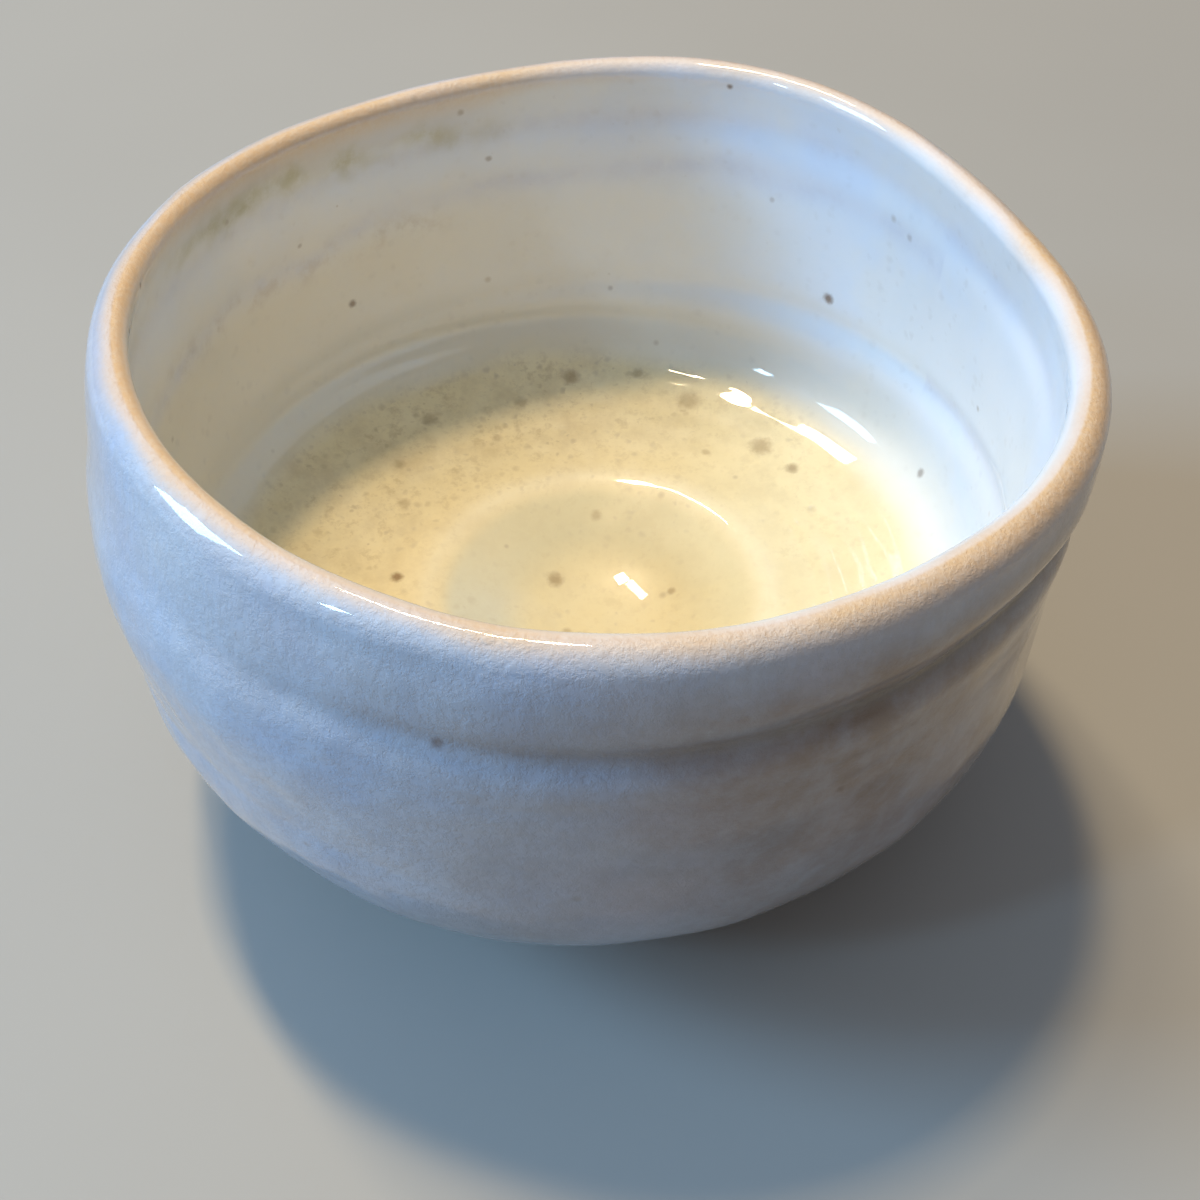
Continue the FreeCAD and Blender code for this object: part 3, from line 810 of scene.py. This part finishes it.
def glaze_relief(nodes, zone, streak, crackle, grain):
    """Relief too fine for the mesh: combing, crackle, ripples and the grainy lip."""
    combing = nodes.times(streak, nodes.times(zone["combed"], 0.35))
    normal = nodes.bump(combing, 0.03 * MM, 0.8)
    normal = nodes.bump(nodes.times(crackle, zone["outside"]), 0.06 * MM, 0.8, normal)
    normal = nodes.bump(nodes.noise(210.0, 2.0, 0.5), 0.1 * MM, 0.5, normal)
    return nodes.bump(nodes.times(grain, zone["lip"]), 0.06 * MM, 0.7, normal)


def glaze_material():
    """One glaze for the five coats; the zones say where each colour lies."""
    nodes = Nodes("milky_glaze")
    zone = {label: nodes.mask(label) for label in ZONES}
    cloud = nodes.ramp(nodes.noise(30.0, 4.0, 0.6), 0.36, 0.64)
    veil = nodes.ramp(nodes.noise(70.0, 5.0, 0.62), 0.38, 0.66)
    streak = nodes.ramp(nodes.noise(1500.0, 2.0, 0.6, stretch=(1.0, 1.0, 0.12)), 0.35, 0.68)
    grain = nodes.ramp(nodes.noise(1400.0, 3.0, 0.65), 0.3, 0.7)
    crackle = nodes.ramp(nodes.noise(620.0, 5.0, 0.75), 0.38, 0.62)
    warped = nodes.warped(900.0, 1.1 * MM)
    middle = fine_specks(nodes, 560.0, 0.10, 0.50, warped)

    milk = milk_colour(nodes, zone, cloud, veil)
    outer = outer_colour(nodes, zone, cloud, veil, crackle, streak)
    colour = nodes.mix(zone["outside"], milk, outer)
    colour = nodes.mix(zone["floor"], colour, cream_colour(nodes, zone, veil, warped, middle))
    colour = nodes.tint(colour, nodes.times(middle, veil), 0.13, (0.38, 0.34, 0.33))
    freckles = nodes.ramp(nodes.noise(240.0, 4.0, 0.65), 0.44, 0.72, 0.0, 0.5)
    colour = nodes.tint(colour, zone["freckled"], freckles, (0.56, 0.48, 0.40))

    mottled = nodes.ramp(nodes.noise(120.0, 5.0, 0.68), 0.34, 0.66, 0.55, 0.95)
    # Painted shade: the mottled brown tint darkens the shaded right side of the outside, partly a real
    # brown mark.
    colour = nodes.tint(colour, zone["right_smear_and_shade"], mottled, (0.30, 0.22, 0.165))
    # Painted shade: near-black pooled glaze along the groove at the right paints the groove's shade.
    colour = nodes.mix(zone["groove"], colour, (0.11, 0.095, 0.085))
    colour = nodes.tint(colour, zone["bare_band"], 0.38, (0.54, 0.51, 0.525))
    stain = nodes.ramp(nodes.noise(420.0, 4.0, 0.7), 0.30, 0.62, 0.40, 0.75)
    colour = nodes.tint(colour, zone["pour"], stain, (0.42, 0.39, 0.20))

    thin = nodes.mix(zone["tan"], (0.755, 0.63, 0.575), (0.77, 0.50, 0.245))
    thin = nodes.tint(thin, grain, 0.25, (0.84, 0.77, 0.71))
    colour = nodes.tint(colour, zone["lip"], 0.9, thin)

    dots = fine_specks(nodes, 260.0, 0.93, 0.20)
    colour = nodes.tint(colour, dots, 0.35, (0.30, 0.22, 0.15))
    iron = nodes.mix(zone["floor"], (0.17, 0.105, 0.075), (0.27, 0.165, 0.065))
    colour = nodes.mix(iron_specks(nodes), colour, iron)
    return nodes.finish(
        Base_Color=colour,
        Roughness=nodes.ramp(nodes.noise(160.0, 3.0), 0.3, 0.7, 0.34, 0.46),
        Normal=glaze_relief(nodes, zone, streak, crackle, grain),
        IOR=1.45, Specular_IOR_Level=0.3, Coat_Weight=1.0, Coat_Roughness=0.03, Coat_IOR=1.5,
    )


def clay_material(name, tone):
    """Bare sandy stoneware: grit, iron grains and flashing where it met the fire."""
    nodes = Nodes(name)
    grit = nodes.noise(1300.0, 4.0, 0.7)
    patches = nodes.ramp(nodes.noise(60.0, 3.0), 0.35, 0.65)
    flashed = (0.82 * tone[0], 0.82 * tone[1], 0.72 * tone[2])
    base = nodes.mix(patches, tone, flashed)
    base = nodes.mix(nodes.ramp(grit, 0.35, 0.7), base, tuple(min(1.0, 1.18 * part) for part in tone))
    dots = fine_specks(nodes, 420.0, 0.86, 0.30)
    base = nodes.tint(base, dots, 0.8, (0.16, 0.09, 0.05))
    normal = nodes.bump(grit, 0.16 * MM, 1.0)
    normal = nodes.bump(nodes.noise(380.0, 3.0), 0.12 * MM, 0.7, normal)
    rough = nodes.ramp(grit, 0.3, 0.7, 0.72, 0.9)
    return nodes.finish(Base_Color=base, Roughness=rough, Normal=normal)


# ---------------------------------------------------------- camera and lights


CAMERA_PLACE, CAMERA_DOWN, LENS = (2.28, -131.1, 161.05), 47.14, 40.5

AIM = (0.0, 0.0, 0.04)
# (name, azimuth, elevation, distance, (width, height), watts, colour), all in metres.
LIGHTS = [
    ("window", 179.0, 32.0, 1.3, (0.36, 0.46), 13.2, (0.33, 0.65, 1.0)),
    ("side", 208.0, 38.0, 1.3, (0.10, 0.20), 2.4, (0.42, 0.70, 1.0)),
    ("lamp", 118.0, 74.0, 1.4, (0.10, 0.14), 9.6, (1.0, 0.77, 0.45)),
    ("strip", 122.0, 64.0, 1.4, (0.07, 0.30), 5.0, (1.0, 0.80, 0.50)),
]
FLOOR_HALF = 1.5


def camera():
    """Close view from in front and above, as a person at the table has."""
    data = bpy.data.cameras.new("camera")
    data.sensor_width = 36.0
    data.lens = LENS
    data.clip_start = 0.005
    view = bpy.data.objects.new("camera", data)
    view.location = Vector(CAMERA_PLACE) * MM
    view.rotation_euler = Euler((math.radians(90.0 - CAMERA_DOWN), 0.0, 0.0))
    bpy.context.scene.collection.objects.link(view)
    bpy.context.scene.camera = view


def area_light(name, azimuth, elevation, distance, size, watts, colour):
    """Rectangular light aimed at the bowl. Azimuth 0 is +X and 90 is +Y."""
    data = bpy.data.lights.new(name, "AREA")
    data.shape = "RECTANGLE"
    data.size, data.size_y = size
    data.energy = watts
    data.color = colour
    a, e = math.radians(azimuth), math.radians(elevation)
    place = Vector((math.cos(e) * math.cos(a), math.cos(e) * math.sin(a), math.sin(e))) * distance
    light = bpy.data.objects.new(name, data)
    light.location = place
    light.rotation_euler = (Vector(AIM) - place).to_track_quat("-Z", "Y").to_euler()
    bpy.context.scene.collection.objects.link(light)


def studio_world(low, high):
    """Even background light, dim at the horizon and brighter overhead."""
    world = bpy.data.worlds.new("studio")
    world.use_nodes = True
    tree = world.node_tree
    place = tree.nodes.new("ShaderNodeTexCoord")
    split = tree.nodes.new("ShaderNodeSeparateXYZ")
    share = tree.nodes.new("ShaderNodeMapRange")
    share.interpolation_type = "SMOOTHSTEP"
    share.inputs[1].default_value = 0.25
    tone = tree.nodes.new("ShaderNodeMix")
    tone.data_type = "RGBA"
    tone.inputs[6].default_value = (*low, 1.0)
    tone.inputs[7].default_value = (*high, 1.0)
    tree.links.new(place.outputs["Generated"], split.inputs[0])
    tree.links.new(split.outputs["Z"], share.inputs[0])
    tree.links.new(share.outputs[0], tone.inputs[0])
    tree.links.new(tone.outputs[2], tree.nodes["Background"].inputs["Color"])
    bpy.context.scene.world = world


def floor():
    """Plain pale floor, wide enough to fill every view."""
    mesh = bpy.data.meshes.new("floor")
    corners = [(x * FLOOR_HALF, y * FLOOR_HALF, 0) for x, y in ((-1, -1), (1, -1), (1, 1), (-1, 1))]
    mesh.from_pydata(corners, [], [(0, 1, 2, 3)])
    stand = bpy.data.objects.new("floor", mesh)
    bpy.context.scene.collection.objects.link(stand)
    nodes = Nodes("pale_floor")
    tone = nodes.mix(nodes.noise(9.0, 2.0), (0.355, 0.345, 0.33), (0.39, 0.38, 0.365))
    mesh.materials.append(nodes.finish(Base_Color=tone, Roughness=0.6))


# ------------------------------------------------------------------- assembly

camera()
for light in LIGHTS:
    area_light(*light)
studio_world((0.09, 0.075, 0.06), (0.41, 0.45, 0.51))
floor()

glaze = glaze_material()
for node, piece in build_glaze().items():
    piece.data.materials.append(glaze)
    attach(piece, "root")
    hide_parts(node)

for node, piece, tone in (
    ("clay_bowl", clay_body(), (0.52, 0.37, 0.26)),
    ("foot_ring", foot_ring(), (0.50, 0.35, 0.245)),
):
    piece.data.materials.append(clay_material(piece.name + "_stoneware", tone))
    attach(piece, "root")
    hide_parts(node)

bpy.context.scene.view_settings.view_transform = "Standard"
